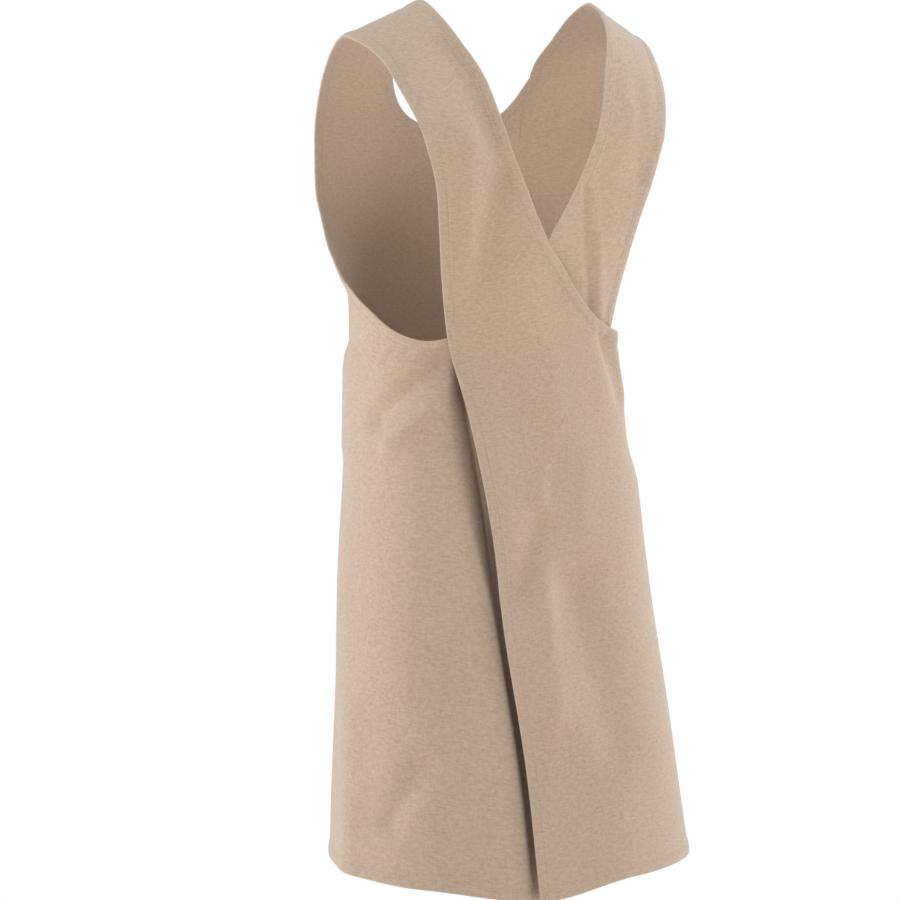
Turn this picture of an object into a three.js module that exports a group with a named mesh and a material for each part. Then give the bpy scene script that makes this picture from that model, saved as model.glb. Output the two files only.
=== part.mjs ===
// Cross back apron, worn: a front panel with a bib, and two back panels whose wide straps cross.
// Millimetres, +Z up. The wearer faces -Y and the wearer's left is +X.
// The origin is the middle of the shoulder line, where the straps hang. Everything is measured down from it.
import * as THREE from "three";

// Driving sizes
const length = 870; // shoulder line to the lowest point of the hem
const chestWidth = 372;
const chestDepth = 208;
const chestLean = -9; // how far the section's centre lies behind the shoulder line, so minus is in front
const waistWidth = 282;
const waistDepth = 234;
const waistLean = -43;
const hemWidth = 372;
const hemDepth = 320;
const hemLean = 10;
const shoulderReach = 173; // centre to a strap's outer edge, along the shoulder
const neckReach = 98; // centre to a strap's inner edge, along the shoulder
const shoulderDrop = 36; // how much lower the outer edge lies than the inner one
const shoulderForward = 22; // how much further forward the outer edge lies
const crossDown = 222; // shoulder line to the point where the back straps cross
const bibDown = 231; // shoulder line to the level where the armholes turn up into the bib
const necklineDown = 112; // shoulder line to the lowest point of the front neckline
const cloth = 1.2;
const hemCloth = 2.2; // the cloth folded over and stitched
const hemFold = 11; // how wide the folded hems are
const inset = 0.4; // the cloth's inner face to the form that it hangs round
const layerGap = 1.4; // between the two back panels where they lap
const seamGap = 0.5;
const edgeLift = 11; // how far the over panel's free edge stands off the under panel
const edgeTurns = 14; // how many degrees round that lift reaches
const valleyDepth = 9; // how far the under panel sinks beside that edge
const valleyWide = 32; // how far past the edge it comes up again
const tuck = 8; // how far the under panel's hidden part lies inside the over panel
const hemRise = 11; // how much higher the hem lies away from the over panel's free edge
const hemLowTurn = 18; // how many degrees towards the wearer's left that edge ends
const hemRiseTurns = 38; // how many degrees round the hem takes to rise
const bladeSquareness = 3.3; // of the back, over the shoulder blades
const waistSquareness = 2.6;
const hemSquareness = 2.3;

// How the section changes on the way down, as shares: of the way from chest to waist, and from waist to hem.
// spread is how much wider than the back the front is, where the bib bridges the chest.
const sections = [
  { down: 0.138, toWaist: 0.0, toHem: 0.0, spread: 1.27 },
  { down: 0.184, toWaist: 0.12, toHem: 0.0, spread: 1.27 },
  { down: 0.23, toWaist: 0.45, toHem: 0.0, spread: 1.18 },
  { down: 0.276, toWaist: 0.75, toHem: 0.0, spread: 1.06 },
  { down: 0.322, toWaist: 0.92, toHem: 0.0, spread: 1.0 },
  { down: 0.385, toWaist: 1.0, toHem: 0.0, spread: 1.0 },
  { down: 0.483, toWaist: 1.0, toHem: 0.08, spread: 1.0 },
  { down: 0.644, toWaist: 1.0, toHem: 0.33, spread: 1.0 },
  { down: 0.828, toWaist: 1.0, toHem: 0.67, spread: 1.0 },
  { down: 1.0, toWaist: 1.0, toHem: 1.0, spread: 1.0 },
];

// A strap's inner edge at the back, from the shoulder to the crossing
const neckEdge = [
  { down: -0.09, across: 1.0 },
  { down: 0.03, across: 0.93 },
  { down: 0.16, across: 0.81 },
  { down: 0.28, across: 0.7 },
  { down: 0.45, across: 0.58 },
  { down: 0.63, across: 0.42 },
  { down: 0.81, across: 0.24 },
  { down: 1.0, across: 0.0 },
];

// A strap's outer edge, which runs on down to the hem as the back panel's free edge
const freeEdge = [
  { down: 0.018, across: 1.0 },
  { down: 0.045, across: 0.925 },
  { down: 0.09, across: 0.875 },
  { down: 0.135, across: 0.8 },
  { down: 0.182, across: 0.73 },
  { down: 0.25, across: 0.65 },
  { down: 0.3, across: 0.605 },
  { down: 0.37, across: 0.555 },
  { down: 0.45, across: 0.475 },
  { down: 0.58, across: 0.405 },
  { down: 0.7, across: 0.385 },
  { down: 0.85, across: 0.335 },
  { down: 1.0, across: 0.33 },
];

// A back panel's top edge past the crossing: degrees round from the centre back, then up into the armhole
const topEdge = [
  { turn: 0, down: 0.255 },
  { turn: 9, down: 0.284 },
  { turn: 16, down: 0.311 },
  { turn: 24, down: 0.336 },
  { turn: 32, down: 0.351 },
  { turn: 41, down: 0.362 },
  { turn: 52, down: 0.367 },
  { turn: 66, down: 0.357 },
  { turn: 82, down: 0.335 },
  { turn: 96, down: 0.319 },
  { turn: 104, down: 0.302 },
  { turn: 112, down: 0.2655 },
];

// The bib's outer edge, from the shoulder down to the level where the bib begins
const bibEdge = [
  { down: 0.018, across: 1.0 },
  { down: 0.08, across: 0.99 },
  { down: 0.16, across: 0.975 },
  { down: 0.21, across: 0.945 },
  { down: 0.2655, across: 0.875 },
];

// The front neckline, from the shoulder round to the centre
const neckline = [
  { down: -0.18, across: 1.0 },
  { down: 0.2, across: 0.93 },
  { down: 0.5, across: 0.84 },
  { down: 0.8, across: 0.64 },
  { down: 0.95, across: 0.34 },
  { down: 1.0, across: 0.0 },
];

// Where the side seams lie, in degrees round from the centre back
const seamLine = [
  { down: 0.2655, turn: 112 },
  { down: 1.0, turn: 118 },
];

// How far the over panel's free edge lifts and the under panel sinks beside it, on the way down
const edgeRoll = [
  { down: 0.37, lift: 0.0, sink: 0.0 },
  { down: 0.42, lift: 0.5, sink: 0.75 },
  { down: 0.46, lift: 0.75, sink: 0.8 },
  { down: 0.56, lift: 1.0, sink: 1.0 },
  { down: 0.62, lift: 1.0, sink: 1.0 },
  { down: 0.7, lift: 0.75, sink: 0.6 },
  { down: 0.8, lift: 0.55, sink: 0.45 },
  { down: 1.0, lift: 0.5, sink: 0.4 },
];

// Folds, each a soft ridge or a valley along a line round and down the cloth. hand is +1 on the wearer's left
// panel and -1 on the right one, turns are degrees from the centre back to the panel's own side, so a strap's
// are negative, and wide is a share of the waist's width.
const folds = [
  { hand: 1, fromTurn: 112, fromDown: 0.31, toTurn: 112, toDown: 0.385, wide: 0.13, rise: -5 },
  { hand: 1, fromTurn: 114, fromDown: 0.4, toTurn: 114, toDown: 0.51, wide: 0.1, rise: 2.5 },
  { hand: 1, fromTurn: 44, fromDown: 0.385, toTurn: 84, toDown: 0.47, wide: 0.05, rise: -5 },
  { hand: 1, fromTurn: 45, fromDown: 0.43, toTurn: 74, toDown: 0.495, wide: 0.045, rise: 3 },
  { hand: 1, fromTurn: 92, fromDown: 0.8, toTurn: 88, toDown: 1.02, wide: 0.09, rise: 4 },
  { hand: 1, fromTurn: 55, fromDown: 0.84, toTurn: 72, toDown: 0.93, wide: 0.05, rise: -3 },
  { hand: 1, fromTurn: 145, fromDown: 0.5, toTurn: 141, toDown: 1.02, wide: 0.1, rise: 6 },
  { hand: -1, fromTurn: -48, fromDown: 0.03, toTurn: -27, toDown: 0.16, wide: 0.075, rise: -4 },
  { hand: -1, fromTurn: -28, fromDown: 0.15, toTurn: -21, toDown: 0.275, wide: 0.075, rise: -6 },
  { hand: -1, fromTurn: -45, fromDown: 0.19, toTurn: -36, toDown: 0.3, wide: 0.05, rise: 2.5 },
  { hand: -1, fromTurn: 72, fromDown: 0.27, toTurn: 72, toDown: 0.52, wide: 0.17, rise: -12 },
  { hand: -1, fromTurn: 66, fromDown: 0.125, toTurn: 66, toDown: 0.405, wide: 0.12, rise: -14 },
  { hand: -1, fromTurn: 34, fromDown: 0.36, toTurn: 48, toDown: 0.45, wide: 0.045, rise: -3 },
  { hand: -1, fromTurn: 60, fromDown: 0.335, toTurn: 60, toDown: 0.385, wide: 0.08, rise: -5 },
  { hand: -1, fromTurn: -5, fromDown: 0.57, toTurn: -22, toDown: 0.67, wide: 0.07, rise: -4 },
  { hand: -1, fromTurn: -9, fromDown: 0.64, toTurn: -5, toDown: 0.8, wide: 0.07, rise: 4 },
  { hand: -1, fromTurn: 8, fromDown: 0.64, toTurn: 20, toDown: 0.86, wide: 0.12, rise: -4 },
  { hand: -1, fromTurn: 148, fromDown: 0.52, toTurn: 144, toDown: 1.02, wide: 0.1, rise: 6 },
];

// How finely each sheet is divided
const strapColumns = 8;
const panelColumns = 17;
const skirtRows = 25;
const strapRows = 13;
const frontColumns = 26;
const frontStrapColumns = 6;
const bibRows = 6;
const frontStrapRows = 9;

const archPower = 1.6; // how full the straps' arch over the shoulder is
const archDown = sections[0].down * length; // where the arch over the shoulder begins
const degrees = Math.PI / 180;

const mix = (a, b, t) => a + (b - a) * t;

const ease = (t) => {
  const s = Math.min(1, Math.max(0, t));
  return s * s * (3 - 2 * s);
};

// The value of a table's column at a key, by a smooth curve through the rows
function read(table, key, column, at) {
  const last = table.length - 1;
  if (at <= table[0][key]) return table[0][column];
  if (at >= table[last][key]) return table[last][column];
  let i = 0;
  while (at > table[i + 1][key]) i++;
  const slope = (k) => {
    const a = table[Math.max(0, k - 1)];
    const b = table[Math.min(last, k + 1)];
    return (b[column] - a[column]) / (b[key] - a[key]);
  };
  const span = table[i + 1][key] - table[i][key];
  const t = (at - table[i][key]) / span;
  const bend = t * (1 - t) * span;
  const line = mix(table[i][column], table[i + 1][column], t * t * (3 - 2 * t));
  return line + bend * ((1 - t) * slope(i) - t * slope(i + 1));
}

// The section of the form at a level below the shoulders: half sizes, centre and squareness of back and front
function section(z) {
  const down = Math.max(-z / length, sections[0].down);
  const toWaist = read(sections, "down", "toWaist", down);
  const toHem = read(sections, "down", "toHem", down);
  const blend = (chest, waist, hem) => mix(mix(chest, waist, toWaist), hem, toHem);
  const width = blend(chestWidth, waistWidth, hemWidth) / 2;
  return {
    back: width,
    front: width * read(sections, "down", "spread", down),
    depth: blend(chestDepth, waistDepth, hemDepth) / 2,
    lean: blend(chestLean, waistLean, hemLean),
    backPower: blend(bladeSquareness, waistSquareness, hemSquareness),
    frontPower: blend(waistSquareness, waistSquareness, hemSquareness),
  };
}

// Distance from the section's centre to the form, at a turn from the centre back
function reach(s, turn) {
  const across = Math.abs(Math.sin(turn));
  const along = Math.abs(Math.cos(turn));
  const isBack = Math.cos(turn) > 0;
  const width = isBack ? s.back : s.front;
  const power = isBack ? s.backPower : s.frontPower;
  return ((across / width) ** power + (along / s.depth) ** power) ** (-1 / power);
}

// The turn at which the form has a given distance across, on the back or on the front
function turnAt(x, z, front) {
  const s = section(z);
  const share = Math.min(1, Math.abs(x) / (front ? s.front : s.back));
  const power = front ? s.frontPower : s.backPower;
  const y = s.depth * (1 - share ** power) ** (1 / power);
  return Math.atan2(x, front ? -y : y);
}

const onForm = (turn, z) => {
  const s = section(z);
  const r = reach(s, turn);
  return new THREE.Vector3(r * Math.sin(turn), s.lean + r * Math.cos(turn), z);
};

// A point of a strap at a distance across and a level, below the arch over the shoulder
const onChest = (x, z, front) => onForm(turnAt(x, z, front), z);

// A point of the arch over the shoulder, in a plane of constant x. swing is 0 at the chest, 1 on the crest.
function onArch(x, swing, front) {
  const out = (Math.abs(x) - neckReach) / (shoulderReach - neckReach);
  const crestY = -shoulderForward * out;
  const base = onChest(x, -archDown, front);
  const angle = (swing * Math.PI) / 2;
  const rise = Math.sin(angle) ** (2 / archPower);
  const full = Math.max(0, Math.cos(angle)) ** (2 / archPower);
  return new THREE.Vector3(x, mix(crestY, base.y, full), mix(-archDown, crestZ(x), rise));
}

// How far up the arch a level lies, as the swing that onArch takes
function swingAt(x, z) {
  const rise = Math.max(0, (z + archDown) / (crestZ(x) + archDown));
  return Math.asin(Math.min(1, rise ** (archPower / 2))) / (Math.PI / 2);
}

// Height of the shoulder line at a distance across. It lies on the level zero half way along.
function crestZ(x) {
  const out = (Math.abs(x) - neckReach) / (shoulderReach - neckReach);
  return shoulderDrop * (0.5 - out);
}

// How much the folds raise the cloth at a turn towards one hand, and a level
function foldRise(hand, turn, z) {
  const perDegree = (waistWidth / 2) * degrees;
  let rise = 0;
  for (const f of folds) {
    if (f.hand !== hand) continue;
    const ax = f.fromTurn * perDegree;
    const ay = f.fromDown * length;
    const bx = f.toTurn * perDegree;
    const by = f.toDown * length;
    const span = (bx - ax) ** 2 + (by - ay) ** 2;
    const px = (turn / degrees) * perDegree;
    const share = ((px - ax) * (bx - ax) + (-z - ay) * (by - ay)) / span;
    const side = ((px - ax) * (by - ay) - (-z - ay) * (bx - ax)) / Math.sqrt(span);
    const ends = ease(share * 4 + 0.5) * ease((1 - share) * 4 + 0.5);
    rise += f.rise * ends * Math.exp(-((side / (f.wide * waistWidth)) ** 2));
  }
  return rise;
}

// A closed sheet of cloth from a grid of places, whose rows go up and whose columns go round with the outside
// on the right. place(row, column) gives a point, how far the cloth stands off the form there, and whether it
// is the crest of the shoulder, where the cloth stands up. live(row, column) says which cells are cloth, and
// hemmed(row, column) where it is folded over. beyond(row, column) says where the next panel carries the
// cloth on past a seam, which steadies its direction there.
function clothSheet(rows, columns, place, live, hemmed, beyond, facing) {
  const spots = [];
  for (let i = 0; i <= rows; i++) {
    spots.push([]);
    for (let j = -1; j <= columns + 1; j++) {
      spots[i][j] = place(i, j);
    }
  }
  const cell = (i, j) => i >= 0 && j >= 0 && i < rows && j < columns && live(i, j);
  const carried = (i, j) => cell(i, j) || (i >= 0 && i < rows && j >= -1 && j <= columns && beyond(i, j));
  const normalAt = (i, j) => {
    const sum = new THREE.Vector3();
    for (const [a, b] of [[i - 1, j - 1], [i - 1, j], [i, j - 1], [i, j]]) {
      if (!carried(a, b)) continue;
      const rise = spots[a + 1][b + 1].point.clone().sub(spots[a][b].point);
      const fall = spots[a + 1][b].point.clone().sub(spots[a][b + 1].point);
      sum.add(rise.cross(fall).multiplyScalar(facing).normalize());
    }
    return sum.normalize();
  };
  const positions = [];
  const index = new Map();
  const vertex = (i, j, outside) => {
    const key = (i * (columns + 1) + j) * 2 + (outside ? 1 : 0);
    if (!index.has(key)) {
      const thick = outside ? (hemmed(i, j) ? hemCloth : cloth) : 0;
      const spot = spots[i][j];
      const normal = normalAt(i, j);
      if (spot.crest) normal.setY(0).normalize();
      const at = spot.point.clone().addScaledVector(normal, spot.off + thick);
      index.set(key, positions.length / 3);
      positions.push(at.x, at.y, at.z);
    }
    return index.get(key);
  };
  const triangles = [];
  const quad = (a, b, c, d) => {
    const turned = facing < 0 ? [a, b, c, a, c, d] : [a, c, b, a, d, c];
    triangles.push(...turned);
  };
  for (let i = 0; i < rows; i++) {
    for (let j = 0; j < columns; j++) {
      if (!cell(i, j)) continue;
      const ring = [[i, j], [i, j + 1], [i + 1, j + 1], [i + 1, j]];
      const out = ring.map(([a, b]) => vertex(a, b, true));
      const inn = ring.map(([a, b]) => vertex(a, b, false));
      quad(out[3], out[2], out[1], out[0]);
      quad(inn[0], inn[1], inn[2], inn[3]);
      const open = [!cell(i - 1, j), !cell(i, j + 1), !cell(i + 1, j), !cell(i, j - 1)];
      for (let k = 0; k < 4; k++) {
        const next = (k + 1) % 4;
        if (open[k]) quad(out[k], out[next], inn[next], inn[k]);
      }
    }
  }
  const geometry = new THREE.BufferGeometry();
  geometry.setAttribute("position", new THREE.Float32BufferAttribute(positions, 3));
  geometry.setIndex(triangles);
  geometry.computeVertexNormals();
  return geometry;
}

// Columns or rows spread evenly, apart from one hem's width beside the edges that are hemmed
function spread(k, count, span, hemFirst, hemLast) {
  const fold = Math.min(hemFold / span, 0.4 / count + 0.1);
  const low = hemFirst ? 1 : 0;
  const high = count - (hemLast ? 1 : 0);
  if (k < low) return Math.min(k, 0) / count;
  if (k > high) return 1 + Math.max(k - count, 0) / count;
  return mix(hemFirst ? fold : 0, hemLast ? 1 - fold : 1, (k - low) / (high - low));
}

// The level of the hem at a turn towards the wearer's left: lowest where the over panel's free edge hangs
const hemLevel = (turn) => {
  const away = Math.abs(turn / degrees - hemLowTurn);
  return -length + hemRise * ease(away / hemRiseTurns);
};

// A back panel. hand is -1 for the wearer's right panel, whose strap comes from the left shoulder,
// and +1 for the left one. Turns are counted towards the panel's own side.
function backPanel(hand, over) {
  const rows = skirtRows + strapRows;
  const columns = strapColumns + panelColumns;
  const crossZ = -crossDown;
  const freeX = (z) => shoulderReach * read(freeEdge, "down", "across", -z / length);
  const neckX = (z) => neckReach * read(neckEdge, "down", "across", -z / crossDown);
  const seamTurn = (z) => read(seamLine, "down", "turn", -z / length) * degrees;
  const freeTurn = (z) => -turnAt(freeX(z), z, false);
  const topTurns = topEdge[topEdge.length - 1].turn * degrees;
  const strapShare = (j) => spread(j, strapColumns, freeX(crossZ), true, true);
  const panelShare = (j) => spread(j, panelColumns, topTurns * waistWidth * 0.5, false, false);

  // How far the panel stands off. The over panel laps the under one and comes down to the form past it, and
  // its free edge lifts below the waist. The under panel's hidden part lies closer in.
  const lap = over ? hemCloth + layerGap : 0;
  const offAt = (turn, z) => {
    const down = -z / length;
    const edge = over ? freeTurn(z) : -freeTurn(z);
    if (over) {
      const pastUnder = ease((turn - 50 * degrees) / (30 * degrees));
      const towardsShoulder = ease((z + 0.86 * crossDown) / (0.6 * crossDown));
      const away = (turn - edge) / (edgeTurns * degrees);
      const lift = edgeLift * read(edgeRoll, "down", "lift", down) * Math.exp(-away * away);
      return inset + lap * (1 - pastUnder) * (1 - towardsShoulder) + lift;
    }
    const below = ease((-z - crossDown) / (0.5 * crossDown));
    const tucked = tuck * below * ease((10 - turn / degrees) / 30);
    const past = ((turn - edge) * waistWidth) / 2 / valleyWide;
    const sunk = valleyDepth * read(edgeRoll, "down", "sink", down) * (1 - ease((past - 0.3) / 0.7));
    return inset - Math.max(tucked, sunk);
  };

  const place = (i, j) => {
    const inStrap = j <= strapColumns;
    if (i <= skirtRows) {
      const topZ = (turn) => -length * read(topEdge, "turn", "down", turn / degrees);
      const topTurn = inStrap
        ? -turnAt(freeX(crossZ) * (1 - strapShare(j)), crossZ, false)
        : topTurns * panelShare(j - strapColumns);
      const upper = inStrap ? crossZ : topZ(topTurn);
      const hemShare = inStrap
        ? 0.25 * strapShare(j)
        : mix(0.25, 1, panelShare(j - strapColumns));
      const hemTurn = mix(freeTurn(-length), seamTurn(-length), hemShare);
      const lower = hemLevel(hand * hemTurn);
      const up = spread(i, skirtRows, upper - lower, true, true);
      const z = mix(lower, upper, up);
      const edgeNow = freeTurn(z);
      const edgeThen = mix(freeTurn(-length), freeTurn(crossZ), up);
      const seamNow = seamTurn(z);
      const seamThen = mix(seamTurn(-length), topTurns, up);
      const plain = mix(hemTurn, topTurn, up);
      const share = (plain - edgeThen) / (seamThen - edgeThen);
      const turn = mix(edgeNow, seamNow, share);
      const gap = j === columns ? seamGap / 2 : 0;
      const point = onForm(hand * (turn - gap / waistWidth), z);
      return { point, off: offAt(turn, z) + foldRise(hand, turn, z) };
    }
    const along = (i - skirtRows) / strapRows;
    const across = strapShare(Math.min(j, strapColumns));
    return strapPlace(-hand, across, along);
  };

  // The strap goes up to the opposite shoulder: straight up to the arch, and then over it to the crest
  const strapPlace = (side, across, along) => {
    const tip = mix(shoulderReach, neckReach, across);
    const straight = (crossDown - archDown) / (crossDown - archDown + 1.25 * archDown);
    const swing = Math.max(0, (along - straight) / (1 - straight));
    if (swing === 0) {
      const z = mix(crossZ, -archDown, along / straight);
      const x = mix(freeX(z), neckX(z), across);
      const turn = -turnAt(x, z, false);
      return { point: onChest(side * x, z, false), off: offAt(turn, z) + foldRise(hand, turn, z) };
    }
    const level = onArch(tip, swing, false).z;
    const x = mix(mix(freeX(level), neckX(level), across), tip, swing ** 4);
    const point = onArch(side * x, swing, false);
    if (along === 1) point.y += seamGap / 2;
    const turn = -turnAt(x, -archDown, false);
    return { point, off: offAt(turn, level) + foldRise(hand, turn, level), crest: along === 1 };
  };

  const live = (i, j) => i < skirtRows || j < strapColumns;
  const hemmed = (i, j) => {
    if (j <= 1) return true;
    if (i <= 1) return true;
    if (i >= skirtRows && j >= strapColumns - 1 && j <= strapColumns) return true;
    return i >= skirtRows - 1 && i <= skirtRows && j >= strapColumns;
  };
  const beyond = (i, j) => i < skirtRows && j === columns;
  return clothSheet(rows, columns, place, live, hemmed, beyond, -hand);
}

// The front panel: skirt, bib and the two short straps that rise to the shoulder line
function frontPanel() {
  const rows = skirtRows + bibRows + frontStrapRows;
  const bibZ = -bibDown;
  const seamTurn = (z) => read(seamLine, "down", "turn", -z / length) * degrees;
  const edgeX = (z) => shoulderReach * read(bibEdge, "down", "across", -z / length);
  const neckX = (z) => neckReach * read(neckline, "down", "across", -z / necklineDown);
  const strapZ = -0.5 * necklineDown;
  const middle = frontColumns / 2;

  // The scoop's level at a distance across, found by halving
  const scoopZ = (x) => {
    let low = -necklineDown;
    let high = strapZ;
    for (let k = 0; k < 24; k++) {
      const half = (low + high) / 2;
      if (neckX(half) < Math.abs(x)) low = half;
      else high = half;
    }
    return low;
  };
  // How far out column j lies, 1 at the outer edge and 0 in the middle, with its side
  const sideOf = (j) => (j < middle ? 1 : -1);
  const outShare = (j) => Math.abs(j - middle) / middle;
  const strapStart = 1 - frontStrapColumns / middle;

  const place = (i, j) => {
    const side = sideOf(j);
    const out = outShare(j);
    if (i <= skirtRows) {
      const start = hemLevel(Math.PI);
      const up = spread(i, skirtRows, bibZ - start, true, true);
      const z = mix(start, bibZ, up);
      const edge = seamTurn(z) + seamGap / waistWidth / 2;
      const turn = Math.PI - (Math.PI - edge) * out;
      const rise = foldRise(side, turn, z);
      return { point: onForm(side * turn, z), off: inset + rise };
    }
    const neckTop = neckX(strapZ);
    const inStrap = out >= strapStart - 1e-6;
    const strapOut = Math.max(0, (out - strapStart) / (1 - strapStart));
    if (i <= skirtRows + bibRows) {
      const up = (i - skirtRows) / bibRows;
      const topX = inStrap ? mix(neckTop, edgeX(strapZ), strapOut) : (neckTop * out) / strapStart;
      const topZ = inStrap ? strapZ : scoopZ(topX);
      const turn = Math.PI - (Math.PI - seamTurn(bibZ)) * out;
      const z = mix(bibZ, topZ, up);
      const footEdge = onForm(seamTurn(bibZ), bibZ).x;
      const edge = mix(footEdge, edgeX(z), ease(3 * up));
      const x = edge * mix(onForm(turn, bibZ).x / footEdge, topX / edgeX(strapZ), up);
      const point = z > -archDown ? onArch(side * x, swingAt(x, z), true) : onChest(side * x, z, true);
      return { point, off: inset };
    }
    const along = (i - skirtRows - bibRows) / frontStrapRows;
    const tip = mix(neckReach, shoulderReach, strapOut);
    const foot = mix(neckTop, edgeX(strapZ), strapOut);
    const swing = mix(swingAt(foot, strapZ), 1, along);
    const level = onArch(tip, swing, true).z;
    const settled = mix(foot, mix(neckX(level), edgeX(level), strapOut), ease(3 * along));
    const point = onArch(side * mix(settled, tip, swing ** 6), swing, true);
    if (along === 1) point.y -= seamGap / 2;
    return { point, off: inset, crest: along === 1 };
  };

  const strapRow = skirtRows + bibRows;
  const live = (i, j) => {
    if (i < strapRow) return true;
    return j < frontStrapColumns || j >= frontColumns - frontStrapColumns;
  };
  const hemmed = (i, j) => {
    if (i <= 1) return true;
    if (i < skirtRows) return false;
    const fromSide = Math.min(j, frontColumns - j);
    if (fromSide <= 1) return true;
    if (i >= strapRow) return fromSide >= frontStrapColumns - 1;
    return i === strapRow - 1 && fromSide >= frontStrapColumns;
  };
  const beyond = (i, j) => i < skirtRows && (j === -1 || j === frontColumns);
  return clothSheet(rows, frontColumns, place, live, hemmed, beyond, -1);
}

// A piece of the apron in its own cloth
function piece(name, geometry, colour) {
  const material = new THREE.MeshStandardMaterial({ color: colour, roughness: 0.92, metalness: 0 });
  const mesh = new THREE.Mesh(geometry, material);
  mesh.name = name;
  return mesh;
}

const apron = new THREE.Group();
apron.name = "cross_back_apron";
apron.add(piece("front_panel", frontPanel(), 0xbda588));
apron.add(piece("left_back_panel", backPanel(1, false), 0xc1a98c));
apron.add(piece("right_back_panel", backPanel(-1, true), 0xc4ad91));

export default apron;
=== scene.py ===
# %% [markdown]
# # A cross back apron
# The real thing is one thin, plain-woven cloth cut in three: a front with a bib, and two back panels that
# lap each other and run up into wide straps, which cross on the back. This lesson builds each panel as a
# fine sheet of cloth, sews its hems, gives it a woven finish and lights it softly. The construction model
# is loaded first and nothing in it is moved: it says where every panel lies, how big it is, and where the
# shoulders carry it.

# %% Load the construction model
import math

import bpy
import numpy as np
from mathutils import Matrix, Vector
from mathutils.kdtree import KDTree


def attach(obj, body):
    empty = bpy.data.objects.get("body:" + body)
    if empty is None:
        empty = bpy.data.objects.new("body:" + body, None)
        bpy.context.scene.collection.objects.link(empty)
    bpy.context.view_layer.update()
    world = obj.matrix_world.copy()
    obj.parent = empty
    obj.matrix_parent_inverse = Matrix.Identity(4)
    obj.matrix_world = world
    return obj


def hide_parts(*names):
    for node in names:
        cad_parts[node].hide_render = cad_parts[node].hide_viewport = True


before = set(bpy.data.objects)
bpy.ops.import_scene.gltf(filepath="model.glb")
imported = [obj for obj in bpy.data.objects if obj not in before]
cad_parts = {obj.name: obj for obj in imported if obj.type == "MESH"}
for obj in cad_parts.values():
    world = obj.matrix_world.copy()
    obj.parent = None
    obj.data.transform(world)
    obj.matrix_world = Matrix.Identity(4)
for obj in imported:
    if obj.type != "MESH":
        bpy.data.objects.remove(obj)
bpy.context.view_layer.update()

# %% [markdown]
# ## The camera
# The apron is seen from behind and from its wearer's left, from a little below the shoulders. A camera has
# a place, a direction and a lens. Upright edges lean apart a little towards the top when a camera looks
# down, so the tilt is a real one here and not a shifted lens. The focal length, the pan and the tilt are in
# picture elements of a frame 900 wide, and the sensor is in millimetres.

# %% Camera
FRAME_WIDE = 900
FOCAL = 2920
SENSOR = 36
CAMERA_TURN = math.radians(150)
CAMERA_AWAY = 3.0
CAMERA_LEVEL = -0.10
PAN = 55
TILT = 330

towards = Vector((-math.sin(CAMERA_TURN), math.cos(CAMERA_TURN), 0))
sideways = towards.cross(Vector((0, 0, 1)))
pan = math.atan(PAN / FOCAL)
tilt = math.atan(TILT / FOCAL)
level_aim = towards * math.cos(pan) - sideways * math.sin(pan)
aim = level_aim * math.cos(tilt) - Vector((0, 0, 1)) * math.sin(tilt)
place = Vector((-towards.x * CAMERA_AWAY, -towards.y * CAMERA_AWAY, CAMERA_LEVEL))
bpy.ops.object.camera_add(location=place, rotation=aim.to_track_quat("-Z", "Y").to_euler())
camera = bpy.context.object
camera.name = "camera"
camera.data.sensor_width = SENSOR
camera.data.lens = SENSOR * FOCAL / FRAME_WIDE
bpy.context.scene.camera = camera
print("lens", round(camera.data.lens, 1), "mm, camera at", tuple(round(v, 2) for v in place))

# %% [markdown]
# ## The sizes of the apron
# A pattern cutter works from a few measured lengths, and so does this lesson. Lengths are in metres and
# turns in degrees. Nearly all are the ones that the construction model was made from: the form that the
# cloth hangs round, the straps, and the hems. Only the hollow beside the free edge is narrower here, as
# fine cloth allows.

# %% Sizes
LENGTH = 0.870
CHEST_WIDTH = 0.372
CHEST_DEPTH = 0.208
CHEST_LEAN = -0.009
WAIST_WIDTH = 0.282
WAIST_DEPTH = 0.234
WAIST_LEAN = -0.043
HEM_WIDTH = 0.372
HEM_DEPTH = 0.320
HEM_LEAN = 0.010
SHOULDER_REACH = 0.173
NECK_REACH = 0.098
SHOULDER_DROP = 0.036
SHOULDER_FORWARD = 0.022
CROSS_DOWN = 0.222
BIB_DOWN = 0.231
NECKLINE_DOWN = 0.112
CLOTH = 0.0012
HEM_CLOTH = 0.0022
INSET = 0.0004
LAYER_GAP = 0.0014
SEAM_GAP = 0.0005
EDGE_LIFT = 0.011
EDGE_TURNS = 14
VALLEY_DEPTH = 0.009
VALLEY_WIDE = 0.024
TUCK = 0.008
HEM_RISE = 0.011
HEM_LOW_TURN = 18
HEM_RISE_TURNS = 38
BLADE_SQUARENESS = 3.3
WAIST_SQUARENESS = 2.6
HEM_SQUARENESS = 2.3
ARCH_POWER = 1.6
STRAP_START = 1 - 6 / 13
HEM_QUARTER = 0.25

# %% [markdown]
# ## Tables of shares
# How a shape changes on the way down is easier to read in a table than in a formula. Each row holds shares
# of the sizes above: how far down, and how far across. A smooth curve through the rows gives every place
# between them.

# %% Tables
# down, from chest to waist, from waist to hem, how much wider the front is than the back
SECTIONS = np.array([
    (0.138, 0.0, 0.0, 1.27),
    (0.184, 0.12, 0.0, 1.27),
    (0.23, 0.45, 0.0, 1.18),
    (0.276, 0.75, 0.0, 1.06),
    (0.322, 0.92, 0.0, 1.0),
    (0.385, 1.0, 0.0, 1.0),
    (0.483, 1.0, 0.08, 1.0),
    (0.644, 1.0, 0.33, 1.0),
    (0.828, 1.0, 0.67, 1.0),
    (1.0, 1.0, 1.0, 1.0),
])
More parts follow.
